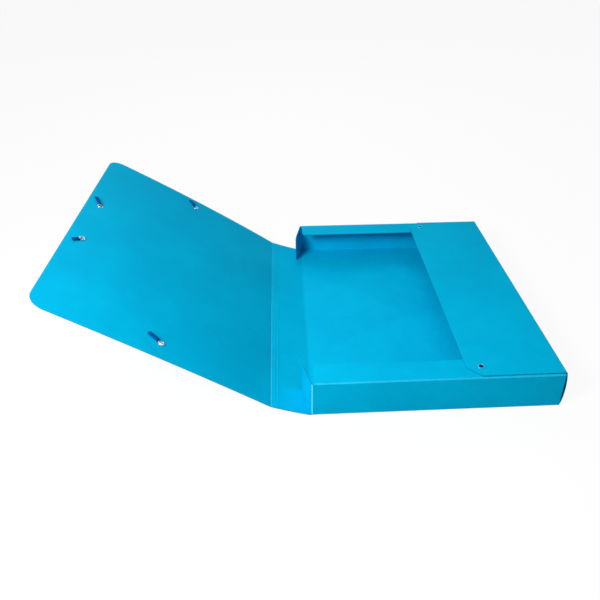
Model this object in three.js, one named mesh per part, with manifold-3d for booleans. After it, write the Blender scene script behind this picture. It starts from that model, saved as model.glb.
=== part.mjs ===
// An elastic box file: one folded sheet of glossy pressboard that makes a shallow box for A4 papers,
// with a spine panel and a bowed front cover hinged on creases, and two corner elastics on the cover.
// Millimetres, +Z up. The origin is the centre of the back panel's underside. -X is the spine side,
// +X the fore edge, -Y the near side and +Y the far side. The cover stands open, as it springs.
import * as THREE from 'three';
import { mergeVertices } from 'three/addons/utils/BufferGeometryUtils.js';
import Module from 'manifold-3d';

const wasm = await Module();
wasm.setup();

// Driving sizes of the sheet.
const boardThickness = 0.9;
const boxWidth = 250;
const boxLength = 330;
const boxDepth = 40;
const spineHeight = 42;
const coverWidth = 243;
const coverBow = 2;
const coverCornerRadius = 16;
const spineBow = 1;
const foldRadius = 1.2;
const foreWallBow = 1.9;

// Driving sizes of the flaps and end tabs.
const sideFlapDepth = 28;
const sideFlapSlant = 1.6;
const foreFlapWidth = 97;
const foreFlapCorner = 13;
const endTabDepth = 28;
const endTabTaper = 3;
const wallEndGap = 1.2;

// How far the spine and the cover stand open.
const spineOpenDeg = 18;
const coverOpenDeg = 14.4;

// Eyelets and elastics.
const eyeletBore = 4.6;
const eyeletWall = 0.3;
const eyeletFlange = 7;
const eyeletFlangeThickness = 0.5;
const flapEyeletInset = 15;
const coverEyeletSpineSide = 120.4;
const coverEyeletEdgeInset = 19.3;
const coverEyeletForeInset = 15.5;
const elasticDiameter = 2;
const elasticTails = {
  nearSide: { angleDeg: 153, length: 16.5 },
  nearFore: { angleDeg: 232, length: 13 },
  farSide: { angleDeg: 137, length: 14.5 },
  farFore: { angleDeg: 123, length: 17 },
};
const elasticBend = { clearOfRim: 0.6, tailSettle: 3, runSettle: 6, tailLift: 0.1, runSag: 0.4, inBore: 0.35, drop: 0.9 };

// Clearances.
const touchGap = 0.3;
const holeGap = 0.3;

const boardColour = 0x00a5d8;
const nickelColour = 0xd8dadb;
const elasticColour = 0x0a3f93;

const halfBoard = boardThickness / 2;
const halfWidth = boxWidth / 2;
const halfLength = boxLength / 2;
const barrelRadius = eyeletBore / 2 + eyeletWall;
const holeRadius = barrelRadius + holeGap;
const acrossX = new THREE.Matrix4().makeBasis(
  new THREE.Vector3(0, 1, 0), new THREE.Vector3(0, 0, 1), new THREE.Vector3(1, 0, 0));
const acrossY = new THREE.Matrix4().makeBasis(
  new THREE.Vector3(1, 0, 0), new THREE.Vector3(0, 0, 1), new THREE.Vector3(0, -1, 0));

// Turns a geometry into a solid that can be joined and cut.
function toSolid(geometry) {
  const bare = geometry.index ? geometry.toNonIndexed() : geometry.clone();
  bare.deleteAttribute('normal');
  bare.deleteAttribute('uv');
  const merged = mergeVertices(bare, 1e-4);
  return new wasm.Manifold(new wasm.Mesh({
    numProp: 3,
    vertProperties: new Float32Array(merged.attributes.position.array),
    triVerts: new Uint32Array(merged.index.array),
  }));
}

// Turns a solid back into a geometry.
function toGeometry(solid) {
  const mesh = solid.getMesh();
  const geometry = new THREE.BufferGeometry();
  geometry.setAttribute('position', new THREE.BufferAttribute(new Float32Array(mesh.vertProperties), 3));
  geometry.setIndex(new THREE.BufferAttribute(new Uint32Array(mesh.triVerts), 1));
  geometry.computeVertexNormals();
  return geometry;
}

function joinAll(solids) {
  return solids.reduce((whole, solid) => whole.add(solid));
}

function cutAll(solid, cutters) {
  return cutters.reduce((rest, cutter) => rest.subtract(cutter), solid);
}

// Rounds the sharp corners of an open line: each point is [a, b] or [a, b, radius].
function roundCorners(points, steps = 5) {
  const line = [];
  points.forEach(([a, b, radius = 0], i) => {
    const here = new THREE.Vector2(a, b);
    if (!radius) {
      line.push(here);
      return;
    }
    const before = new THREE.Vector2(...points[i - 1].slice(0, 2)).sub(here).normalize();
    const after = new THREE.Vector2(...points[i + 1].slice(0, 2)).sub(here).normalize();
    const half = Math.acos(THREE.MathUtils.clamp(before.dot(after), -1, 1)) / 2;
    const reach = radius / Math.tan(half);
    const centre = before.clone().add(after).normalize().multiplyScalar(radius / Math.sin(half)).add(here);
    const from = before.clone().multiplyScalar(reach).add(here).sub(centre).angle();
    const to = after.clone().multiplyScalar(reach).add(here).sub(centre).angle();
    const turn = Math.atan2(Math.sin(to - from), Math.cos(to - from));
    for (let k = 0; k <= steps; k += 1) {
      const angle = from + (turn * k) / steps;
      line.push(new THREE.Vector2(Math.cos(angle), Math.sin(angle)).multiplyScalar(radius).add(centre));
    }
  });
  return line;
}

// The section of a folded strip of board whose middle layer follows the given line.
function stripShape(points, thickness = boardThickness) {
  const line = roundCorners(points);
  const sides = [[], []];
  line.forEach((point, i) => {
    const before = line[Math.max(i - 1, 0)];
    const after = line[Math.min(i + 1, line.length - 1)];
    const into = i > 0 ? point.clone().sub(before).normalize() : after.clone().sub(point).normalize();
    const out = i < line.length - 1 ? after.clone().sub(point).normalize() : into.clone();
    const along = into.clone().add(out).normalize();
    const reach = thickness / 2 / Math.max(along.dot(into), 0.5);
    const across = new THREE.Vector2(-along.y, along.x).multiplyScalar(reach);
    sides[0].push(point.clone().add(across));
    sides[1].push(point.clone().sub(across));
  });
  return new THREE.Shape([...sides[0], ...sides[1].reverse()]);
}

function extrude(shape, depth, curveSegments = 12) {
  return new THREE.ExtrudeGeometry(shape, { depth, bevelEnabled: false, curveSegments });
}

// A section in Y and Z, drawn out along X.
function alongX(shape, from, to) {
  return extrude(shape, to - from).applyMatrix4(acrossX).translate(from, 0, 0);
}

// A section in X and Z, drawn out along Y.
function alongY(shape, from, to) {
  return extrude(shape, to - from).applyMatrix4(acrossY).translate(0, to, 0);
}

function polygon(points) {
  return new THREE.Shape(points.map(([a, b]) => new THREE.Vector2(a, b)));
}

// A round cutter along Z.
function hole(x, y, low, high) {
  const cutter = new THREE.CylinderGeometry(holeRadius, holeRadius, high - low, 24);
  return toSolid(cutter.rotateX(Math.PI / 2).translate(x, y, (low + high) / 2));
}

// How far the middle of a bowed panel rises at a share of its width.
function bowHeight(bow, share) {
  return 4 * bow * share * (1 - share);
}

// Heights of the layers where the fore edge flap lies on the side flaps.
const foreFlapUnderside = boxDepth + touchGap;
const foreFlapTop = foreFlapUnderside + boardThickness;
const foreFlapEdge = halfWidth - foreFlapWidth;
const foreFlapHalf = halfLength - foldRadius - halfBoard;
const flapEyelets = [-1, 1].map((side) => ({
  x: foreFlapEdge + flapEyeletInset,
  y: side * (foreFlapHalf - flapEyeletInset + foldRadius),
}));

// The near and far walls with their flaps, and the back panel between them.
function sideWalls() {
  const y = halfLength - halfBoard;
  const top = boxDepth - halfBoard;
  const section = stripShape([
    [-halfLength + sideFlapDepth, top],
    [-y, top, foldRadius],
    [-y, halfBoard, foldRadius],
    [y, halfBoard, foldRadius],
    [y, top, foldRadius],
    [halfLength - sideFlapDepth, top],
  ]);
  const start = -halfWidth + foldRadius;
  const walls = toSolid(alongX(section, start, halfWidth - wallEndGap));
  const slants = [-1, 1].map((side) => {
    const corner = polygon([
      [start - 1, side * halfLength],
      [start, side * halfLength],
      [start + sideFlapSlant, side * (halfLength - sideFlapDepth)],
      [start + sideFlapSlant, side * (halfLength - sideFlapDepth - 1)],
      [start - 1, side * (halfLength - sideFlapDepth - 1)],
    ]);
    return toSolid(extrude(corner, boardThickness + touchGap).translate(0, 0, top - halfBoard - touchGap / 2));
  });
  return cutAll(walls, slants);
}

// The strip of back panel that reaches the spine crease.
function spineMargin() {
  const strip = polygon([
    [-halfWidth + touchGap / 2, 0],
    [-halfWidth + 2 * foldRadius, 0],
    [-halfWidth + 2 * foldRadius, boardThickness],
    [-halfWidth + touchGap / 2, boardThickness],
  ]);
  return toSolid(alongY(strip, -foreFlapHalf, foreFlapHalf));
}

// The fore edge wall, which bows outwards, and its wide flap.
function foreWall() {
  const x = halfWidth - halfBoard;
  const top = foreFlapTop - halfBoard;
  const rises = [0.25, 0.5, 0.75];
  const section = stripShape([
    [halfWidth - wallEndGap - 2 * foldRadius, halfBoard],
    [x, halfBoard, foldRadius],
    ...rises.map((share) => [x + bowHeight(foreWallBow, share), halfBoard + share * (top - halfBoard)]),
    [x, top, foldRadius],
    [foreFlapEdge, top],
  ]);
  const wall = toSolid(alongY(section, -foreFlapHalf, foreFlapHalf));
  const corners = [-1, 1].map((side) => {
    const corner = polygon([
      [foreFlapEdge - 1, side * (foreFlapHalf - foreFlapCorner)],
      [foreFlapEdge, side * (foreFlapHalf - foreFlapCorner)],
      [foreFlapEdge + foreFlapCorner, side * foreFlapHalf],
      [foreFlapEdge + foreFlapCorner, side * (foreFlapHalf + 1)],
      [foreFlapEdge - 1, side * (foreFlapHalf + 1)],
    ]);
    return toSolid(extrude(corner, boardThickness + touchGap).translate(0, 0, foreFlapUnderside - touchGap / 2));
  });
  return cutAll(wall, corners);
}

// The tab that turns in from the spine end of a side wall, with its tapered top edge.
function endTab(side) {
  const y = side * (halfLength - halfBoard);
  const x = -halfWidth + touchGap + halfBoard;
  const section = stripShape([
    [-halfWidth + 4 * foldRadius, y],
    [x, y, foldRadius],
    [x, side * (halfLength - endTabDepth)],
  ]);
  const roof = boxDepth - boardThickness;
  const floor = boardThickness + foldRadius;
  const outline = polygon([
    [side * halfLength, floor],
    [side * (halfLength - endTabDepth), floor],
    [side * (halfLength - endTabDepth), roof - endTabTaper],
    [side * (halfLength - 2 * foldRadius), roof],
    [side * halfLength, roof],
  ]);
  const strip = toSolid(extrude(section, boxDepth));
  return strip.intersect(toSolid(alongX(outline, -halfWidth - 1, -halfWidth + 8 * foldRadius)));
}

function boxBody() {
  const whole = joinAll([sideWalls(), spineMargin(), foreWall(), endTab(-1), endTab(1)]);
  const holes = flapEyelets.map(({ x, y }) => hole(x, y, boxDepth / 2, foreFlapTop + touchGap));
  return toGeometry(cutAll(whole, holes));
}

// In the panels that swing, x runs away from the crease towards -X and z = 0 is the inner face.
function spinePanel() {
  const count = 6;
  const line = [];
  for (let i = 0; i <= count; i += 1) {
    const share = i / count;
    const reach = touchGap / 2 + share * (spineHeight - touchGap);
    line.push([-reach, -halfBoard - bowHeight(spineBow, share)]);
  }
  return toGeometry(toSolid(alongY(stripShape(line), -halfLength, halfLength)));
}

const coverEyelets = [-1, 1].flatMap((side) => [
  { x: -coverEyeletSpineSide, y: side * (halfLength - coverEyeletEdgeInset) },
  {
    x: -(coverWidth - coverEyeletForeInset),
    y: side * (halfLength - coverEyeletEdgeInset - (coverWidth - coverEyeletForeInset - coverEyeletSpineSide)),
  },
]);

function coverHeight(x) {
  return bowHeight(coverBow, -x / coverWidth);
}

function coverTilt(x) {
  return Math.atan((4 * coverBow * (1 + (2 * x) / coverWidth)) / coverWidth);
}

function frontCover() {
  const count = 14;
  const line = [];
  for (let i = 0; i <= count; i += 1) {
    const reach = touchGap / 2 + (i / count) * (coverWidth - touchGap / 2);
    line.push([-reach, coverHeight(-reach) - halfBoard]);
  }
  const sheet = toSolid(alongY(stripShape(line), -halfLength, halfLength));
  const outline = new THREE.Shape();
  outline.moveTo(1, -halfLength);
  outline.lineTo(1, halfLength);
  outline.lineTo(-coverWidth + coverCornerRadius, halfLength);
  outline.absarc(-coverWidth + coverCornerRadius, halfLength - coverCornerRadius,
    coverCornerRadius, Math.PI / 2, Math.PI, false);
  outline.lineTo(-coverWidth, -halfLength + coverCornerRadius);
  outline.absarc(-coverWidth + coverCornerRadius, -halfLength + coverCornerRadius,
    coverCornerRadius, Math.PI, 1.5 * Math.PI, false);
  const depth = 4 * coverBow + 4 * boardThickness;
  const trim = toSolid(extrude(outline, depth, 8).translate(0, 0, -depth / 2));
  const holes = coverEyelets.map(({ x, y }) => hole(x, y, -depth, depth));
  return toGeometry(cutAll(sheet.intersect(trim), holes));
}

// A flanged, rolled eyelet whose barrel passes through a stack of board from z = 0 down.
function eyelet(stack) {
  const bore = eyeletBore / 2;
  const flange = eyeletFlange / 2;
  const high = touchGap + eyeletFlangeThickness;
  const low = -stack - touchGap - eyeletFlangeThickness;
  const round = eyeletFlangeThickness / 2;
  const profile = [
    [bore, low + round], [bore + round, low],
    [flange - round, low], [flange, low + round], [flange - round, low + eyeletFlangeThickness],
    [barrelRadius, low + eyeletFlangeThickness], [barrelRadius, high - eyeletFlangeThickness],
    [flange - round, high - eyeletFlangeThickness], [flange, high - round], [flange - round, high],
    [bore + round, high], [bore, high - round], [bore, low + round],
  ];
  const turned = new THREE.LatheGeometry(profile.map(([r, z]) => new THREE.Vector2(r, z)), 24);
  return toGeometry(toSolid(turned.rotateX(Math.PI / 2)));
}

// One corner elastic: a tail on the inner face, down one eyelet, a straight run across the corner on
// the outer face, up the other eyelet, and the second tail.
function cornerElastic(start, end, startTail, endTail) {
  const radius = elasticDiameter / 2;
  const lie = touchGap + radius;
  const over = touchGap + eyeletFlangeThickness + touchGap + radius;
  const rim = eyeletFlange / 2;
  const bend = elasticBend;
  const run = new THREE.Vector2(end.x - start.x, end.y - start.y).normalize();
  const points = [];
  const place = (at, way, reach, z) => {
    points.push(new THREE.Vector3(at.x + way.x * reach, at.y + way.y * reach, coverHeight(at.x) + z));
  };
  const half = (at, tail, way) => {
    place(at, tail, tail.length, lie);
    place(at, tail, (tail.length + rim + bend.tailSettle) / 2, lie);
    place(at, tail, rim + bend.tailSettle, lie + bend.tailLift);
    place(at, tail, rim + bend.clearOfRim, over);
    place(at, tail, rim / 2, over);
    place(at, tail, radius * bend.inBore, over - radius * bend.drop);
    place(at, tail, 0, -halfBoard);
    place(at, way, radius * bend.inBore, -boardThickness - over + radius * bend.drop);
    place(at, way, rim / 2, -boardThickness - over);
    place(at, way, rim + bend.clearOfRim, -boardThickness - over);
    place(at, way, rim + bend.runSettle, -boardThickness - lie - bend.runSag);
  };
  half(start, startTail, run);
  const middle = points.length;
  half(end, endTail, run.clone().negate());
  const path = new THREE.CatmullRomCurve3(
    [...points.slice(0, middle), ...points.slice(middle).reverse()], false, 'centripetal');
  const ring = new THREE.Shape();
  ring.absarc(0, 0, radius, 0, 2 * Math.PI, false);
  const cord = new THREE.ExtrudeGeometry(ring, { steps: 110, curveSegments: 8, extrudePath: path });
  return toGeometry(toSolid(cord));
}

function tail({ angleDeg, length }) {
  const angle = THREE.MathUtils.degToRad(angleDeg);
  return { x: Math.cos(angle), y: Math.sin(angle), length };
}

const board = () => new THREE.MeshStandardMaterial({ color: boardColour, roughness: 0.38, metalness: 0 });
const nickel = () => new THREE.MeshStandardMaterial({ color: nickelColour, roughness: 0.25, metalness: 1 });
const elastic = () => new THREE.MeshStandardMaterial({ color: elasticColour, roughness: 0.8, metalness: 0 });

function piece(name, geometry, material) {
  const mesh = new THREE.Mesh(geometry, material);
  mesh.name = name;
  return mesh;
}

const boxFile = new THREE.Group();
boxFile.add(piece('box_body', boxBody(), board()));

const flapStack = foreFlapTop - (boxDepth - boardThickness);
flapEyelets.forEach(({ x, y }, i) => {
  const mesh = piece(`flap_eyelet_${['near', 'far'][i]}`, eyelet(flapStack), nickel());
  mesh.position.set(x, y, foreFlapTop);
  boxFile.add(mesh);
});

const spine = new THREE.Group();
spine.position.set(-halfWidth, 0, boardThickness);
spine.rotation.y = THREE.MathUtils.degToRad(spineOpenDeg);
spine.add(piece('spine_panel', spinePanel(), board()));
boxFile.add(spine);

const cover = new THREE.Group();
cover.position.x = -spineHeight;
cover.rotation.y = THREE.MathUtils.degToRad(coverOpenDeg);
cover.add(piece('front_cover', frontCover(), board()));
spine.add(cover);

const eyeletNames = ['near_side', 'near_fore', 'far_side', 'far_fore'];
coverEyelets.forEach(({ x, y }, i) => {
  const mesh = piece(`cover_eyelet_${eyeletNames[i]}`, eyelet(boardThickness), nickel());
  mesh.position.set(x, y, coverHeight(x));
  mesh.rotation.y = -coverTilt(x);
  cover.add(mesh);
});

const [nearSide, nearFore, farSide, farFore] = coverEyelets;
cover.add(piece('corner_elastic_near',
  cornerElastic(nearSide, nearFore, tail(elasticTails.nearSide), tail(elasticTails.nearFore)), elastic()));
cover.add(piece('corner_elastic_far',
  cornerElastic(farSide, farFore, tail(elasticTails.farSide), tail(elasticTails.farFore)), elastic()));

export default boxFile;
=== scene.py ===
# Elastic box file, open: one folded sheet of glazed pressboard, with nickel eyelets and braided
# elastics on the cover and lacquered eyelets on the flaps. Shapes are modelled in millimetres and
# scaled to metres as each piece is finished.
import math

import bmesh
import bpy
from mathutils import Matrix, Vector, geometry


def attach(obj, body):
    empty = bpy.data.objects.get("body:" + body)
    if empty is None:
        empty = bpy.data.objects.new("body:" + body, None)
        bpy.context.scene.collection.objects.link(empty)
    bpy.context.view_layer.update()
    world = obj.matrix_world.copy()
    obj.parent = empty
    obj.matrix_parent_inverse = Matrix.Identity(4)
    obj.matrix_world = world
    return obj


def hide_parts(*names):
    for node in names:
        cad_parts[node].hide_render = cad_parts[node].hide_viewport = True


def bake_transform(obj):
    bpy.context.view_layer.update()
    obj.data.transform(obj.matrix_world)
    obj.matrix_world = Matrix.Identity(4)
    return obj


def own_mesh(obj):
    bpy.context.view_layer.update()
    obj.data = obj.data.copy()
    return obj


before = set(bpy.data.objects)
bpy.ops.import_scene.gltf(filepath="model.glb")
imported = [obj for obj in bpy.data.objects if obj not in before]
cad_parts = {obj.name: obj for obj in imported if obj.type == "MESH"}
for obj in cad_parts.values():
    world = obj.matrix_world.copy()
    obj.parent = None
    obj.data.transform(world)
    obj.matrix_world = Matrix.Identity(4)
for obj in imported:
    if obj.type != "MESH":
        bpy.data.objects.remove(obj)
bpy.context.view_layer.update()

metre = 1000  # millimetres
near, far = -1, 1
samePlace = 1e-3  # millimetres between points that count as one
weld = 1e-4


# ---- shared helpers

def linear(hexCode):
    channels = [int(hexCode[i:i + 2], 16) / 255 for i in (0, 2, 4)]
    return (*[c / 12.92 if c <= 0.04045 else ((c + 0.055) / 1.055) ** 2.4 for c in channels], 1)


def addNode(tree, kind, settings=None, inputs=None):
    node = tree.nodes.new(kind)
    for key, value in (settings or {}).items():
        setattr(node, key, value)
    for key, value in (inputs or {}).items():
        if isinstance(value, bpy.types.NodeSocket):
            tree.links.new(value, node.inputs[key])
        else:
            node.inputs[key].default_value = value
    return node


mixFactor, mixFrom, mixTo, mixResult = 0, 6, 7, 2  # sockets of a colour Mix node


def emptyMaterial(name):
    material = bpy.data.materials.new(name)
    material.use_nodes = True
    material.node_tree.nodes.clear()
    return material, material.node_tree


# The texture scale that makes one feature this big.
def perMetre(millimetres):
    return metre / millimetres


def noise(tree, place, sizeMm, detail, roughness=0.5, distortion=0):
    return addNode(tree, "ShaderNodeTexNoise", inputs={
        "Vector": place, "Scale": perMetre(sizeMm), "Detail": detail, "Roughness": roughness,
        "Distortion": distortion}).outputs["Fac"]


def mapRange(tree, value, source, target=(0, 1)):
    return addNode(tree, "ShaderNodeMapRange", inputs={
        "Value": value, "From Min": source[0], "From Max": source[1],
        "To Min": target[0], "To Max": target[1]}).outputs[0]


def mixColours(tree, factor, start, end):
    return addNode(tree, "ShaderNodeMix", {"data_type": "RGBA"}, {
        mixFactor: factor, mixFrom: start, mixTo: end}).outputs[mixResult]


def maths(tree, operation, *values):
    return addNode(tree, "ShaderNodeMath", {"operation": operation}, dict(enumerate(values))).outputs[0]


def bump(tree, height, strengthAndDistance, normal=None):
    strength, distance = strengthAndDistance
    inputs = {"Height": height, "Strength": strength, "Distance": distance}
    if normal:
        inputs["Normal"] = normal
    return addNode(tree, "ShaderNodeBump", inputs=inputs).outputs[0]


def objectPlace(tree):
    return addNode(tree, "ShaderNodeTexCoord").outputs["Object"]


def attribute(tree, name):
    return addNode(tree, "ShaderNodeAttribute", {"attribute_name": name}).outputs["Fac"]


def surface(tree, inputs):
    shader = addNode(tree, "ShaderNodeBsdfPrincipled", inputs=inputs)
    addNode(tree, "ShaderNodeOutputMaterial", inputs={"Surface": shader.outputs[0]})


# ---- materials

boardLook = {
    "light": "00AFD9", "mid": "00AAD5", "deep": "00A4CF",
    "cloudMm": 70, "mottleMm": 15, "fibreMm": 0.9, "waveMm": 85,
    "mottleShare": 0.6, "cloudRange": (0.6, 1.0), "fleckRange": (0.35, 0.75), "fleckShare": (0, 0.35),
    # The pale crease colour and its share: partly whitened glaze, partly a painted highlight on the
    # folds.
    "wornAndHighlit": "6FD8F2", "wornAndHighlitShare": 0.5,
    "crackMm": 1.6, "crackRange": (0.3, 0.6), "crackShare": (0.3, 1.0),
    "roughness": (0.40, 0.50), "glossRange": (0.3, 0.7), "specular": 0.012, "sheenTint": "59CDF2",
    "waveBump": (0.35, 0.0012), "fibreBump": (0.1, 0.00003),
}


# Glazed pressboard, dyed through and calendered: an even bright blue that is faintly clouded by its
# fibres, with a low satin gloss that takes the colour of the board. Along the creases the colour is
# painted paler: partly the glaze whitening on the fold, partly a painted highlight where the rounded
# folds catch the lamp.
def glazedPressboard():
    look = boardLook
    material, tree = emptyMaterial("glazedPressboard")
    place = objectPlace(tree)
    cloud = noise(tree, place, look["cloudMm"], detail=2)
    mottle = noise(tree, place, look["mottleMm"], detail=4, roughness=0.6, distortion=0.6)
    fibre = noise(tree, place, look["fibreMm"], detail=3, roughness=0.7)
    wave = noise(tree, place, look["waveMm"], detail=1)
    crack = noise(tree, place, look["crackMm"], detail=3, roughness=0.7)
    clouded = maths(tree, "MULTIPLY_ADD", mottle, look["mottleShare"], cloud)
    lightShare = mapRange(tree, clouded, look["cloudRange"])
    dyed = mixColours(tree, lightShare, linear(look["deep"]), linear(look["light"]))
    fleck = mapRange(tree, fibre, look["fleckRange"], look["fleckShare"])
    flecked = mixColours(tree, fleck, dyed, linear(look["mid"]))
    broken = mapRange(tree, crack, look["crackRange"], look["crackShare"])
    wornAndHighlitShare = maths(tree, "MULTIPLY", attribute(tree, "creaseWearAndHighlight"), broken)
    pale = maths(tree, "MINIMUM", maths(tree, "MULTIPLY", wornAndHighlitShare, look["wornAndHighlitShare"]), 1.0)
    creasedAndHighlit = mixColours(tree, pale, flecked, linear(look["wornAndHighlit"]))
    surface(tree, {
        "Base Color": creasedAndHighlit,
        "Roughness": mapRange(tree, mottle, look["glossRange"], look["roughness"]),
        "Normal": bump(tree, fibre, look["fibreBump"], bump(tree, wave, look["waveBump"])),
        "Specular IOR Level": look["specular"], "Specular Tint": linear(look["sheenTint"])})
    return material


edgeLook = {
    # Edge colours darker than the faces: partly the edge's own tone, partly painted shade for the edge
    # lying in shade.
    "fibre": "108FB1", "core": "067798", "plyMm": 0.3, "roughness": 0.8, "specular": 0.02,
    "plyBump": (0.5, 0.0001),
}


# The board's edge as a steel rule die leaves it: matt and in fibrous layers, darker than the glazed
# faces; part of that darkness is painted shade, standing in for the thin edge lying in shade.
def dieCutEdge():
    look = edgeLook
    material, tree = emptyMaterial("dieCutBoardEdge")
    ply = noise(tree, objectPlace(tree), look["plyMm"], detail=3, roughness=0.7)
    surface(tree, {
        "Base Color": mixColours(tree, ply, linear(look["core"]), linear(look["fibre"])),
        "Normal": bump(tree, ply, look["plyBump"]),
        "Roughness": look["roughness"], "Specular IOR Level": look["specular"]})
    return material


# The nickel colours are tinted blue: a painted reflection of the board round the eyelets, on top of the
# plate's own colour.
nickelAndReflectionLook = {"plate": "A9C5D0", "dull": "7DA1B2", "scuffMm": 0.8, "roughness": (0.24, 0.38)}
lacquerLook = {"plate": "5AB2D4", "dull": "3592B8", "scuffMm": 1.2, "roughness": (0.30, 0.45)}
scuffs = {"range": (0.35, 0.65), "bump": (0.2, 0.00005)}


# Steel eyelets, stamped and rolled, in one of two finishes: bright nickel plate in the cover, its
# colour tinted blue as a painted reflection of the board round it, and on the flaps a clear blue
# lacquer over the plate. Both have fine handling scuffs.
def finishedSteel(name, look):
    material, tree = emptyMaterial(name)
    scuff = noise(tree, objectPlace(tree), look["scuffMm"], detail=4, roughness=0.65)
    surface(tree, {
        "Base Color": mixColours(tree, scuff, linear(look["plate"]), linear(look["dull"])),
        "Roughness": mapRange(tree, scuff, scuffs["range"], look["roughness"]),
        "Normal": bump(tree, scuff, scuffs["bump"]), "Metallic": 1.0})
    return material


elasticLook = {
    "thread": "0658A6", "gap": "02306C", "sheen": "2A78C8", "pickMm": 1.5, "threads": 8,
    "roughness": 0.8, "specular": 0.05, "sheenWeight": 0.08, "sheenRoughness": 0.4,
    "braidBump": (0.6, 0.0002),
}


# Braided elastic cord: dyed polyester threads round a rubber core, matt with a faint blue sheen. The
# braid follows the cord by its own attributes, and is coarser than the real one so that it shows.
def braidedElastic():
    look = elasticLook
    material, tree = emptyMaterial("braidedElasticCord")
    around = attribute(tree, "aroundTurn")
    rise = maths(tree, "MULTIPLY", attribute(tree, "alongMm"), 2 * math.pi / look["pickMm"])
    left, right = [
        maths(tree, "SINE", maths(tree, "MULTIPLY_ADD", around, hand * math.pi * look["threads"], rise))
        for hand in (-1, 1)]
    braid = maths(tree, "MULTIPLY", maths(tree, "MULTIPLY_ADD", left, right, 1.0), 0.5)
    surface(tree, {
        "Base Color": mixColours(tree, braid, linear(look["gap"]), linear(look["thread"])),
        "Normal": bump(tree, braid, look["braidBump"]), "Roughness": look["roughness"],
        "Specular IOR Level": look["specular"], "Sheen Weight": look["sheenWeight"],
        "Sheen Roughness": look["sheenRoughness"], "Sheen Tint": linear(look["sheen"])})
    return material


pressboard = glazedPressboard()
boardEdge = dieCutEdge()
nickel = finishedSteel("nickelPlatedSteel", nickelAndReflectionLook)
lacquered = finishedSteel("blueLacqueredSteel", lacquerLook)
elastic = braidedElastic()
print("materials ready")


# ---- the sheet: shared shape helpers

board = {
    "thickness": 0.9, "edgeBevel": 0.14, "bevelSteps": 2, "bevelDeg": 60, "sharpDeg": 38,
    "cornerSteps": 4, "weldFolds": 0.1,
}

box = {
    "spineEnd": -123.8, "wallEnd": 123.3, "foreMid": 124.55, "foreHalf": 163.0, "sideMid": 164.55,
    "floor": 0.45, "sideTop": 39.55, "foreTop": 40.75, "flapEdge": 137.0, "flapSlant": 1.6,
    "foreFlapEdge": 28.0, "foreFlapCorner": 13.0, "cornerRound": 2.5, "foldRadius": 1.2, "foldSteps": 5,
    "foreBow": 1.9, "foreBowSteps": 8, "eyeletX": 43.0, "eyeletY": 149.55,
    # How strongly and how far the side walls' top folds are painted paler: partly worn glaze, partly a
    # painted highlight.
    "wearAndHighlight": 0.5, "wearAndHighlightReach": (0.3, 1.1),
}

spine = {
    "axis": Vector((-125.0, 0, 0.9)), "openDeg": 18.0, "height": 42.0, "half": 165.0, "bow": 0.6,
    "foldStart": 1.0, "foldEnd": -2.2, "foldLead": 1.5, "seam": 32.5, "beadAt": (-0.6,),
    "neck": 0.7, "edge": 1, "lengthCuts": 8, "widthCuts": 8,
}

cover = {
    "openDeg": 14.4, "width": 243.0, "half": 165.0, "bow": 2.0, "warp": 0.7, "corner": 16.0,
    "cornerSteps": 12, "foldStart": 1.5, "foldEnd": -1.7, "foldLead": 2, "beadAt": (0.2, 3.7, 7.3),
    # The crease's pale line grows stronger towards the near side, which faces the key lamp: a painted
    # highlight on top of the worn glaze.
    "lengthCuts": 14, "widthCuts": 10, "wearAndHighlight": (0.35, 0.85), "nearHighlightFrom": -60,
    "eyelets": {
        "near_side": (-120.4, -145.7), "near_fore": (-227.5, -38.6),
        "far_side": (-120.4, 145.7), "far_fore": (-227.5, 38.6)},
}
bead = {"height": 0.2, "half": 0.6}
hole = {"radius": 2.9, "segments": 40, "depth": 16}
foldSteps = 8  # cuts across a crease that bends as it moves


def turnedUp(degrees):
    return Matrix.Rotation(math.radians(degrees), 4, "Y")


spineMatrix = Matrix.Translation(spine["axis"]) @ turnedUp(spine["openDeg"])
coverAxis = Vector((-spine["height"], 0, 0))
coverMatrix = spineMatrix @ Matrix.Translation(coverAxis) @ turnedUp(cover["openDeg"])


def bowHeight(bow, share):
    return 4 * bow * share * (1 - share)


def smoothStep(value, start, end):
    share = min(max((value - start) / (end - start), 0), 1)
    return share * share * (3 - 2 * share)


def beadHeight(x, places):
    reach = min(abs(x - place) for place in places)
    return bead["height"] * (1 + math.cos(math.pi * min(reach / bead["half"], 1))) / 2


# Marks how far each point is painted paler at a crease: partly the glaze whitening on the fold,
# partly a painted highlight along it.
def markWearAndHighlight(bm, wearAndHighlightAt):
    layer = bm.verts.layers.float.new("creaseWearAndHighlight")
    for vert in bm.verts:
        vert[layer] = wearAndHighlightAt(vert.co)


def quad(bm, lowX, highX, lowY, highY):
    bmesh.ops.create_grid(bm, x_segments=1, y_segments=1, size=0.5)
    bmesh.ops.scale(bm, verts=bm.verts, vec=(highX - lowX, highY - lowY, 1))
    bmesh.ops.translate(bm, verts=bm.verts, vec=((lowX + highX) / 2, (lowY + highY) / 2, 0))


def cutAt(bm, axis, places):
    for place in places:
        normal = Vector([1 if i == axis else 0 for i in range(3)])
        bmesh.ops.bisect_plane(bm, geom=bm.verts[:] + bm.edges[:] + bm.faces[:], dist=weld,
                               plane_co=normal * place, plane_no=normal)


def evenly(start, end, count):
    return [start + (end - start) * i / count for i in range(count + 1)]


def cutsForBeads(places):
    return [place + share * bead["half"] for place in places for share in (-1, -0.5, 0, 0.5, 1)]


def edgesWhere(bm, test):
    return [edge for edge in bm.edges if all(test(vert.co) for vert in edge.verts)]


def isNear(value, target):
    return abs(value - target) < samePlace


def extruded(bm, edges):
    made = bmesh.ops.extrude_edge_only(bm, edges=edges)["geom"]
    return [item for item in made if isinstance(item, bmesh.types.BMVert)]


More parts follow.
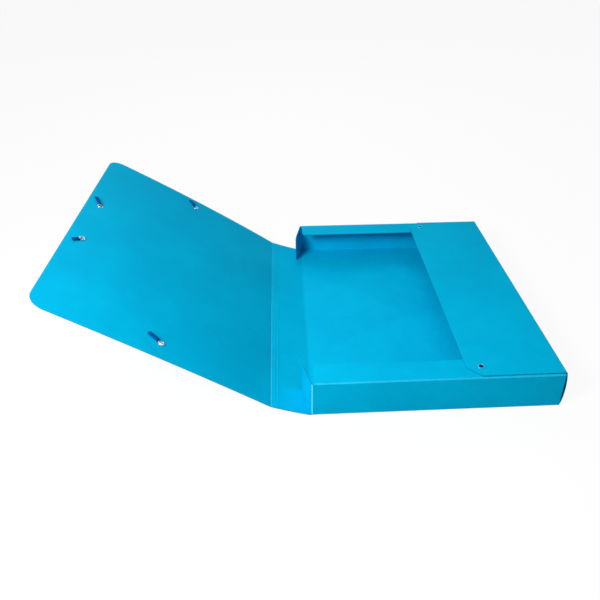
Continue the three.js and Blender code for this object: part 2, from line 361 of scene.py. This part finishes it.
def drawOut(bm, edges, move):
    bmesh.ops.translate(bm, verts=extruded(bm, edges), vec=move)


def toObject(name, bm, materials):
    bmesh.ops.scale(bm, verts=bm.verts, vec=(1 / metre,) * 3)
    mesh = bpy.data.meshes.new(name)
    bm.to_mesh(mesh)
    bm.free()
    for material in materials:
        mesh.materials.append(material)
    piece = bpy.data.objects.new(name, mesh)
    bpy.context.scene.collection.objects.link(piece)
    return piece


def shadeByAngle(mesh, degrees):
    mesh.polygons.foreach_set("use_smooth", [True] * len(mesh.polygons))
    mesh.set_sharp_from_angle(angle=math.radians(degrees))


def applyModifiers(piece):
    bpy.context.view_layer.update()
    whole = bpy.data.meshes.new_from_object(piece.evaluated_get(bpy.context.evaluated_depsgraph_get()))
    piece.modifiers.clear()
    piece.data = whole
    whole.name = piece.name


def punch(places, matrix):
    bm = bmesh.new()
    for x, y in places:
        bmesh.ops.create_cone(bm, cap_ends=True, segments=hole["segments"], radius1=hole["radius"],
                              radius2=hole["radius"], depth=hole["depth"],
                              matrix=matrix @ Matrix.Translation((x, y, 0)))
    return toObject("punch", bm, [])


# Gives a middle layer its thickness, punches its holes and softens its cut edges.
def finishBoard(name, bm, holes=(), matrix=Matrix()):
    bmesh.ops.recalc_face_normals(bm, faces=bm.faces)
    piece = toObject(name, bm, [pressboard, boardEdge])
    solid = piece.modifiers.new("thickness", "SOLIDIFY")
    solid.thickness = board["thickness"] / metre
    solid.offset = 0
    solid.use_even_offset = True
    solid.material_offset_rim = 1
    cutter = None
    if holes:
        cutter = punch(holes, matrix)
        cut = piece.modifiers.new("holes", "BOOLEAN")
        cut.operation = "DIFFERENCE"
        cut.solver = "EXACT"
        cut.object = cutter
    soft = piece.modifiers.new("softEdge", "BEVEL")
    soft.width = board["edgeBevel"] / metre
    soft.segments = board["bevelSteps"]
    soft.limit_method = "ANGLE"
    soft.angle_limit = math.radians(board["bevelDeg"])
    soft.use_clamp_overlap = True
    soft.material = -1
    applyModifiers(piece)
    if cutter:
        bpy.data.objects.remove(cutter, do_unlink=True)
    shadeByAngle(piece.data, board["sharpDeg"])
    flat = piece.modifiers.new("flatFaces", "WEIGHTED_NORMAL")
    flat.keep_sharp = True
    applyModifiers(piece)
    return piece


# ---- the box: back panel, three walls and their flaps, in one folded sheet

def makeBoxSheet():
    bm = bmesh.new()
    quad(bm, box["spineEnd"], box["foreMid"], -box["sideMid"], box["sideMid"])
    bmesh.ops.translate(bm, verts=bm.verts, vec=(0, 0, box["floor"]))
    cutAt(bm, 0, [box["wallEnd"]])
    cutAt(bm, 1, [-box["foreHalf"], box["foreHalf"]])
    corners = [face for face in bm.faces if face.calc_center_median().x > box["wallEnd"]
               and abs(face.calc_center_median().y) > box["foreHalf"]]
    bmesh.ops.delete(bm, geom=corners, context="FACES")
    for side in (near, far):
        foot = edgesWhere(bm, lambda co: isNear(co.y, side * box["sideMid"]))
        drawOut(bm, foot, (0, 0, box["sideTop"] - box["floor"]))
        top = edgesWhere(bm, lambda co: isNear(co.z, box["sideTop"]) and co.y * side > 0)
        drawOut(bm, top, (0, -side * (box["sideMid"] - box["flapEdge"]), 0))
    foot = edgesWhere(bm, lambda co: isNear(co.x, box["foreMid"]) and isNear(co.z, box["floor"]))
    drawOut(bm, foot, (0, 0, box["foreTop"] - box["floor"]))
    top = edgesWhere(bm, lambda co: isNear(co.z, box["foreTop"]))
    drawOut(bm, top, (box["foreFlapEdge"] - box["foreMid"], 0, 0))
    for vert in bm.verts:
        if isNear(abs(vert.co.y), box["flapEdge"]) and isNear(vert.co.x, box["spineEnd"]):
            vert.co.x += box["flapSlant"]
    tips = [vert for vert in bm.verts if isNear(vert.co.x, box["foreFlapEdge"])]
    bmesh.ops.bevel(bm, geom=tips, offset=box["foreFlapCorner"], segments=1, profile=0.5,
                    affect="VERTICES", material=-1)
    tips = [vert for vert in bm.verts
            if isNear(vert.co.z, box["foreTop"]) and vert.co.x < box["wallEnd"]]
    bmesh.ops.bevel(bm, geom=tips, offset=box["cornerRound"], segments=board["cornerSteps"],
                    profile=0.5, affect="VERTICES", material=-1)
    cutAt(bm, 2, evenly(box["floor"], box["foreTop"], box["foreBowSteps"])[1:-1])
    for vert in bm.verts:
        if isNear(vert.co.x, box["foreMid"]):
            share = (vert.co.z - box["floor"]) / (box["foreTop"] - box["floor"])
            vert.co.x += bowHeight(box["foreBow"], share)
    folds = edgesWhere(bm, lambda co: isNear(abs(co.y), box["sideMid"]) and (
        isNear(co.z, box["floor"]) or isNear(co.z, box["sideTop"])))
    folds += edgesWhere(bm, lambda co: isNear(co.x, box["foreMid"]) and (
        isNear(co.z, box["floor"]) or isNear(co.z, box["foreTop"])))
    folds = [edge for edge in folds if len(edge.link_faces) == 2]
    bmesh.ops.bevel(bm, geom=folds, offset=box["foldRadius"], segments=box["foldSteps"], profile=0.5,
                    affect="EDGES", clamp_overlap=False, material=-1)
    bmesh.ops.remove_doubles(bm, verts=bm.verts, dist=board["weldFolds"])
    # The top folds of the side walls are painted paler: partly worn glaze, partly a painted highlight
    # where the fold faces the lamp.
    foldLine = Vector((box["sideMid"], box["sideTop"]))
    markWearAndHighlight(bm, lambda co: box["wearAndHighlight"] * (
        1 - smoothStep((Vector((abs(co.y), co.z)) - foldLine).length, *box["wearAndHighlightReach"])))
    holes = [(box["eyeletX"], side * box["eyeletY"]) for side in (near, far)]
    return finishBoard("boxSheet", bm, holes, Matrix.Translation((0, 0, box["foreTop"])))


boxSheet = makeBoxSheet()
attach(boxSheet, "box")
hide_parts("box_body")
print("box sheet folded")


# ---- the end tabs: each turns in from the spine end of a side wall and springs outwards

endTab = {
    "depth": 31.0, "foot": 0.9, "footRise": 1.5, "top": 39.1, "topDrop": 2.0, "turn": 1.2, "turnSteps": 5,
    "reach": {near: -133.0, far: -132.0}, "keep": 0.1, "cornerRound": 3.0,
    # How strongly and how far the turned fold is painted paler: partly worn glaze, partly a painted
    # highlight where the fold faces the lamp.
    "wearAndHighlight": 1.6, "wearAndHighlightReach": (0.35, 1.1),
}


def makeEndTab(name, side):
    bm = bmesh.new()
    foot = bm.verts.new((box["spineEnd"], side * box["sideMid"], endTab["foot"]))
    top = bm.verts.new((box["spineEnd"], side * box["sideMid"], endTab["top"]))
    bm.edges.new((foot, top))
    drawOut(bm, bm.edges[:], (-endTab["turn"], 0, 0))
    turn = edgesWhere(bm, lambda co: isNear(co.x, box["spineEnd"] - endTab["turn"]))
    out = endTab["reach"][side] - (box["spineEnd"] - endTab["turn"])
    drawOut(bm, turn, (out, -side * endTab["depth"], 0))
    free = [vert for vert in bm.verts if isNear(vert.co.x, endTab["reach"][side])]
    for vert in free:
        vert.co.z += endTab["footRise"] if isNear(vert.co.z, endTab["foot"]) else -endTab["topDrop"]
    bmesh.ops.bevel(bm, geom=free, offset=endTab["cornerRound"], segments=board["cornerSteps"],
                    profile=0.5, affect="VERTICES", material=-1)
    turn = [edge for edge in bm.edges if len(edge.link_faces) == 2]
    bmesh.ops.bevel(bm, geom=turn, offset=endTab["turn"], segments=endTab["turnSteps"], profile=0.5,
                    affect="EDGES", clamp_overlap=False, material=-1)
    # The turned fold is painted paler: partly worn glaze, partly a painted highlight where it faces the
    # lamp.
    corner = Vector((box["spineEnd"] - endTab["turn"], side * box["sideMid"]))
    markWearAndHighlight(bm, lambda co: endTab["wearAndHighlight"] * (
        1 - smoothStep((co.xy - corner).length, *endTab["wearAndHighlightReach"])))
    piece = finishBoard(name, bm)
    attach(piece, "box")
    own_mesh(piece)
    return piece


makeEndTab("endTabNear", near)
makeEndTab("endTabFar", far)
print("end tabs folded")


# ---- the spine panel, from the spine crease to just before the cover crease

def makeSpineSheet():
    bm = bmesh.new()
    start = box["spineEnd"] - spine["axis"].x
    panelStart = spine["foldEnd"] - spine["foldLead"]
    quad(bm, -spine["seam"], start, -spine["half"], spine["half"])
    cutAt(bm, 0, evenly(spine["foldEnd"], spine["foldStart"], foldSteps) + cutsForBeads(spine["beadAt"])
          + evenly(-spine["seam"], panelStart, spine["lengthCuts"])[1:])
    cutAt(bm, 1, evenly(-spine["half"], spine["half"], spine["widthCuts"])[1:-1])
    for vert in bm.verts:
        x = vert.co.x
        vert.co.z = (beadHeight(x, spine["beadAt"]) - board["thickness"] / 2
                     - bowHeight(spine["bow"], min(max(-x / spine["height"], 0), 1)))
        if abs(vert.co.y) > spine["half"] - spine["edge"]:
            vert.co.y *= 1 - spine["neck"] / spine["half"] * smoothStep(x, panelStart, start)
        turn = math.radians(spine["openDeg"]) * smoothStep(x, spine["foldStart"], spine["foldEnd"])
        vert.co = Matrix.Rotation(turn, 3, "Y") @ vert.co + spine["axis"]
    return finishBoard("spineSheet", bm)


spineSheet = makeSpineSheet()
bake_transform(spineSheet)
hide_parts("spine_panel")
print("spine sheet folded")


# ---- the front cover, with the beaded cover crease

# The cover bows a little more towards its far edge.
def coverHeight(x, y):
    return bowHeight(cover["bow"] + cover["warp"] * y / cover["half"], max(-x / cover["width"], 0))


def makeCoverSheet():
    bm = bmesh.new()
    seam = spine["height"] - spine["seam"]
    quad(bm, -cover["width"], seam, -cover["half"], cover["half"])
    corners = [vert for vert in bm.verts if vert.co.x < 0]
    bmesh.ops.bevel(bm, geom=corners, offset=cover["corner"], segments=cover["cornerSteps"], profile=0.5,
                    affect="VERTICES", material=-1)
    cutAt(bm, 0, evenly(cover["foldEnd"], cover["foldStart"], foldSteps) + cutsForBeads(cover["beadAt"])
          + evenly(-cover["width"] + cover["corner"], cover["foldEnd"] - cover["foldLead"],
                   cover["lengthCuts"]))
    straight = cover["half"] - cover["corner"]
    cutAt(bm, 1, evenly(-straight, straight, cover["widthCuts"]))
    # The crease is painted paler, more strongly towards the near side: partly worn glaze, partly a
    # painted highlight that grows towards the lamp.
    farWearAndHighlight, nearWearAndHighlight = cover["wearAndHighlight"]
    markWearAndHighlight(bm, lambda co: beadHeight(co.x, cover["beadAt"][:1]) / bead["height"] * (
        farWearAndHighlight + (nearWearAndHighlight - farWearAndHighlight) * smoothStep(-co.y, cover["nearHighlightFrom"], cover["half"])))
    for vert in bm.verts:
        x = vert.co.x
        spineShare = min(max((spine["height"] - x) / spine["height"], 0), 1)
        vert.co.z = (beadHeight(x, cover["beadAt"]) - board["thickness"] / 2
                     + coverHeight(x, vert.co.y) - bowHeight(spine["bow"], spineShare))
        turn = math.radians(cover["openDeg"]) * smoothStep(x, cover["foldStart"], cover["foldEnd"])
        vert.co = Matrix.Rotation(turn, 3, "Y") @ vert.co + coverAxis
    bmesh.ops.transform(bm, matrix=spineMatrix, verts=bm.verts)
    return finishBoard("coverSheet", bm, list(cover["eyelets"].values()), coverMatrix)


coverSheet = makeCoverSheet()
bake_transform(coverSheet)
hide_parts("front_cover")
print("cover sheet folded")


# ---- eyelets, spun from their rolled section

eyelet = {
    "bore": 2.3, "wall": 0.3, "flange": 3.5, "flangeThickness": 0.5, "gap": 0.3, "segments": 64,
    "rollSteps": 10, "sharpDeg": 50, "flapStack": 2.1,
}


def coverTilt(x, y):
    return math.atan((coverHeight(x - 1, y) - coverHeight(x + 1, y)) / 2)


def makeEyelet(name, matrix, stack, body, finish):
    bm = bmesh.new()
    bore, flange, thick = eyelet["bore"], eyelet["flange"], eyelet["flangeThickness"]
    barrel = bore + eyelet["wall"]
    high = eyelet["gap"] + thick
    low = -stack - eyelet["gap"] - thick
    roll = (flange - bore) / 2
    turns = evenly(0, math.pi, eyelet["rollSteps"])
    arc = [(bore + roll - roll * math.cos(turn), math.sin(turn)) for turn in turns]
    profile = ([(r, high - thick + thick * rise) for r, rise in arc]
               + [(barrel, high - thick), (barrel, low + thick)]
               + [(r, low + thick - thick * rise) for r, rise in arc[::-1]])
    verts = [bm.verts.new((r, 0, z)) for r, z in profile]
    edges = [bm.edges.new(pair) for pair in zip(verts, verts[1:] + verts[:1])]
    bmesh.ops.spin(bm, geom=verts + edges, cent=(0, 0, 0), axis=(0, 0, 1), angle=2 * math.pi,
                   steps=eyelet["segments"], use_merge=True)
    bmesh.ops.remove_doubles(bm, verts=bm.verts, dist=weld)
    bmesh.ops.recalc_face_normals(bm, faces=bm.faces)
    bmesh.ops.transform(bm, matrix=matrix, verts=bm.verts)
    piece = toObject(name + "Ring", bm, [finish])
    shadeByAngle(piece.data, eyelet["sharpDeg"])
    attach(piece, body)
    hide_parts(name)


foreFlapTop = box["foreTop"] + board["thickness"] / 2
for side, label in ((near, "near"), (far, "far")):
    seat = Matrix.Translation((box["eyeletX"], side * box["eyeletY"], foreFlapTop))
    makeEyelet("flap_eyelet_" + label, seat, eyelet["flapStack"], "box", lacquered)
for label, (x, y) in cover["eyelets"].items():
    seat = Matrix.Translation((x, y, coverHeight(x, y))) @ Matrix.Rotation(coverTilt(x, y), 4, "Y")
    makeEyelet("cover_eyelet_" + label, coverMatrix @ seat, board["thickness"], "cover", nickel)
print("eyelets spun")


# ---- corner elastics: tail, eyelet, straight run across the corner outside, eyelet, tail

# Each way out of an eyelet lists how far past the rim, how far off the board and half the cord's
# thickness there. The cord has its full form from "settle" on, and "straight" starts the run.
cord = {
    "radius": 1.5, "widest": 2.15, "pressed": 1.05, "rest": 0.06, "tip": (0.5, 0.88),
    "clamped": 0.13, "clampGap": 0.15, "clampReach": 0.3,
    "tailWay": ((1.2, 1.0, 0.95), (0.1, 0.45, 0.4)), "runWay": ((0.1, 0.45, 0.4), (1.2, 1.15, 1.05)),
    "settle": 3.6, "straight": 12, "tailMiddle": 0.75, "ringPoints": 20, "steps": 7, "sharpDeg": 55,
    "tails": {
        "near_side": (153, 16.5), "near_fore": (232, 13), "far_side": (137, 14.5), "far_fore": (123, 17)},
}


# A smooth route through the points, without overshoot where a long span meets a short one.
def smoothRoute(points):
    last = len(points) - 1
    ways = [(points[min(i + 1, last)] - points[max(i - 1, 0)]).normalized() for i in range(last + 1)]
    route = []
    for i in range(last):
        here, after = points[i], points[i + 1]
        reach = (after - here).length / 3
        span = geometry.interpolate_bezier(
            here, here + ways[i] * reach, after - ways[i + 1] * reach, after, cord["steps"])
        route.extend(span if i == last - 1 else span[:-1])
    return route


def flatWay(degrees):
    return Vector((math.cos(math.radians(degrees)), math.sin(math.radians(degrees)), 0))


# Half of an elastic, from its tail's free end to its run: the eyelet clamps it flat under its inner
# rim, between barrel and board, and under its outer rim. It gives the points, with the way across
# the cord at each and half its thickness.
def halfElastic(label, run):
    x, y = cover["eyelets"][label]
    degrees, length = cord["tails"][label]
    way = flatWay(degrees)
    turned = (way + run).normalized()
    pressed, clamped, gap, rim = cord["pressed"], cord["clamped"], cord["clampGap"], eyelet["flange"]
    low = -board["thickness"]
    squeezed = eyelet["bore"] + eyelet["wall"] + gap
    spots = [(way, reach, pressed + cord["rest"], pressed)
             for reach in (length, length * cord["tailMiddle"], rim + cord["settle"])]
    spots += [(way, rim + past, off, half) for past, off, half in cord["tailWay"]]
    spots += [
        (way, squeezed + cord["clampReach"], gap, clamped), (way, squeezed, -gap, clamped),
        (turned, squeezed, low / 2, clamped),
        (run, squeezed, low + gap, clamped), (run, squeezed + cord["clampReach"], low - gap, clamped)]
    spots += [(run, rim + past, low - off, half) for past, off, half in cord["runWay"]]
    spots += [(run, rim + past, low - cord["radius"] - cord["rest"], cord["radius"])
              for past in (cord["settle"], cord["straight"])]
    placed = []
    for heading, reach, rise, half in spots:
        point = Vector((x, y, 0)) + heading * reach
        point.z = coverHeight(point.x, y) + rise
        placed.append((point, Vector((-heading.y, heading.x, 0)), half))
    return placed


def edgesBetween(bm, verts):
    return [edge for edge in bm.edges if edge.verts[0] in verts and edge.verts[1] in verts]


def makeElastic(name, node, first, second):
    start, end = [Vector((*cover["eyelets"][label], 0)) for label in (first, second)]
    run = (end - start).normalized()
    middle = (start + end) / 2
    middle.z = coverHeight(middle.x, middle.y) - board["thickness"] - cord["radius"] - cord["rest"]
    opening, closing = halfElastic(first, run), halfElastic(second, -run)
    spots = (opening + [(middle, Vector((-run.y, run.x, 0)), cord["radius"])]
             + [(point, -across, half) for point, across, half in closing[::-1]])
    route = smoothRoute([point for point, across, half in spots])
    last = len(route) - 1
    bm = bmesh.new()
    alongMm = bm.verts.layers.float.new("alongMm")
    aroundTurn = bm.verts.layers.float.new("aroundTurn")
    bmesh.ops.create_circle(bm, segments=cord["ringPoints"], radius=1)
    shape = [vert.co.copy() for vert in bm.verts]
    ring = list(bm.verts)
    bmesh.ops.contextual_create(bm, geom=bm.edges[:])
    travelled = 0
    for i, centre in enumerate(route):
        if i:
            twin = {}
            for vert in extruded(bm, edgesBetween(bm, ring)):
                others = [edge.other_vert(vert) for edge in vert.link_edges]
                twin[next(other for other in others if other in ring)] = vert
            ring = [twin[vert] for vert in ring]
            travelled += (centre - route[i - 1]).length
        place = i / (cord["steps"] - 1)
        index = min(int(place), len(spots) - 2)
        across = spots[index][1].lerp(spots[index + 1][1], place - index)
        halfHere, halfNext = spots[index][2], spots[index + 1][2]
        half = halfHere + (halfNext - halfHere) * (place - index)
        wide = min(cord["radius"] ** 2 / half, cord["widest"])
        ahead = (route[min(i + 1, last)] - route[max(i - 1, 0)]).normalized()
        out = ahead.cross(across).normalized()
        across = out.cross(ahead).normalized()
        fromEnd = min(i, last - i)
        tip = cord["tip"][fromEnd] if fromEnd < len(cord["tip"]) else 1
        for vert, spot in zip(ring, shape):
            vert.co = centre + (across * spot.x * wide + out * spot.y * half) * tip
            vert[alongMm] = travelled
            vert[aroundTurn] = math.atan2(spot.x, -spot.y) / math.pi
    bmesh.ops.contextual_create(bm, geom=edgesBetween(bm, ring))
    bmesh.ops.recalc_face_normals(bm, faces=bm.faces)
    bmesh.ops.transform(bm, matrix=coverMatrix, verts=bm.verts)
    piece = toObject(name, bm, [elastic])
    shadeByAngle(piece.data, cord["sharpDeg"])
    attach(piece, "cover")
    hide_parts(node)


makeElastic("elasticCordNear", "corner_elastic_near", "near_side", "near_fore")
makeElastic("elasticCordFar", "corner_elastic_far", "far_side", "far_fore")
print("elastics braided")


# ---- studio: floor, world, lamps and camera

studio = {
    "floorSize": 12.0, "floorColour": "BEBEBE", "floorShare": 0.86, "floorWhite": 1.07,
    "white": "FFFFFF", "worldLight": (0.06, 0.42),
    "lamps": {
        "keyLamp": ((-0.56, -0.49, 0.57), 0.30, 8.3),
        "backLamp": ((-0.20, 0.90, 1.00), 0.90, 4.2)},
    "target": (-0.02, 0, 0.03),
}


# One where the camera, a reflection or a view through something meets the studio, and nought where
# the studio only gives light.
def seenShare(tree):
    path = addNode(tree, "ShaderNodeLightPath").outputs
    direct = maths(tree, "MAXIMUM", path["Is Camera Ray"], path["Is Glossy Ray"])
    return maths(tree, "MAXIMUM", direct, path["Is Transmission Ray"])


# Painted studio floor: a plain matt white that takes the object's shadow, and shows to the camera
# and in the metal as nearly pure white.
def makeFloor():
    material, tree = emptyMaterial("paintedStudioFloor")
    share = maths(tree, "MULTIPLY", seenShare(tree), studio["floorShare"])
    matt = addNode(tree, "ShaderNodeBsdfDiffuse", inputs={"Color": linear(studio["floorColour"])})
    white = addNode(tree, "ShaderNodeEmission", inputs={
        "Color": linear(studio["white"]), "Strength": studio["floorWhite"]})
    both = addNode(tree, "ShaderNodeMixShader", inputs={
        0: share, 1: matt.outputs[0], 2: white.outputs[0]})
    addNode(tree, "ShaderNodeOutputMaterial", inputs={"Surface": both.outputs[0]})
    bm = bmesh.new()
    half = studio["floorSize"] * metre / 2
    quad(bm, -half, half, -half, half)
    floor = toObject("studioFloor", bm, [material])


def makeWorld():
    world = bpy.data.worlds.new("studioWorld")
    bpy.context.scene.world = world
    world.use_nodes = True
    tree = world.node_tree
    tree.nodes.clear()
    coords = addNode(tree, "ShaderNodeTexCoord")
    split = addNode(tree, "ShaderNodeSeparateXYZ", inputs={0: coords.outputs["Generated"]})
    level = mapRange(tree, split.outputs["Z"], (0, 1), studio["worldLight"])
    colour = linear(studio["white"])
    soft = addNode(tree, "ShaderNodeBackground", inputs={"Color": colour, "Strength": level})
    white = addNode(tree, "ShaderNodeBackground", inputs={"Color": colour, "Strength": 1.0})
    both = addNode(tree, "ShaderNodeMixShader", inputs={
        0: seenShare(tree), 1: soft.outputs[0], 2: white.outputs[0]})
    addNode(tree, "ShaderNodeOutputWorld", inputs={"Surface": both.outputs[0]})


def makeLamp(name, place, size, power):
    lamp = bpy.data.lights.new(name, "AREA")
    lamp.shape = "DISK"
    lamp.size = size
    lamp.energy = power
    holder = bpy.data.objects.new(name, lamp)
    holder.location = place
    holder.visible_camera = False
    aim = Vector(studio["target"]) - Vector(place)
    holder.rotation_euler = aim.to_track_quat("-Z", "Y").to_euler()
    bpy.context.scene.collection.objects.link(holder)


makeFloor()
makeWorld()
for lampName, (lampPlace, lampSize, lampPower) in studio["lamps"].items():
    makeLamp(lampName, lampPlace, lampSize, lampPower)

# The camera is fitted to the object's corners in the photograph.
view = {
    "lens": 37.348, "sensor": 36.0, "shift": (-0.02720, -0.08663), "nearest": 0.01,
    "place": (-0.14807, -0.61762, 0.44389),
    "right": (0.998345, -0.057404, 0.002609), "up": (0.025867, 0.489538, 0.871597),
    "back": (-0.051314, -0.870090, 0.490215),
}
cameraData = bpy.data.cameras.new("camera")
cameraData.lens = view["lens"]
cameraData.sensor_width = view["sensor"]
cameraData.sensor_fit = "HORIZONTAL"
cameraData.shift_x, cameraData.shift_y = view["shift"]
cameraData.clip_start = view["nearest"]
camera = bpy.data.objects.new("camera", cameraData)
facing = Matrix((view["right"], view["up"], view["back"])).transposed().to_4x4()
camera.matrix_world = Matrix.Translation(view["place"]) @ facing
bpy.context.scene.collection.objects.link(camera)
bpy.context.scene.camera = camera
bpy.context.scene.view_settings.view_transform = "Standard"
print("studio set")
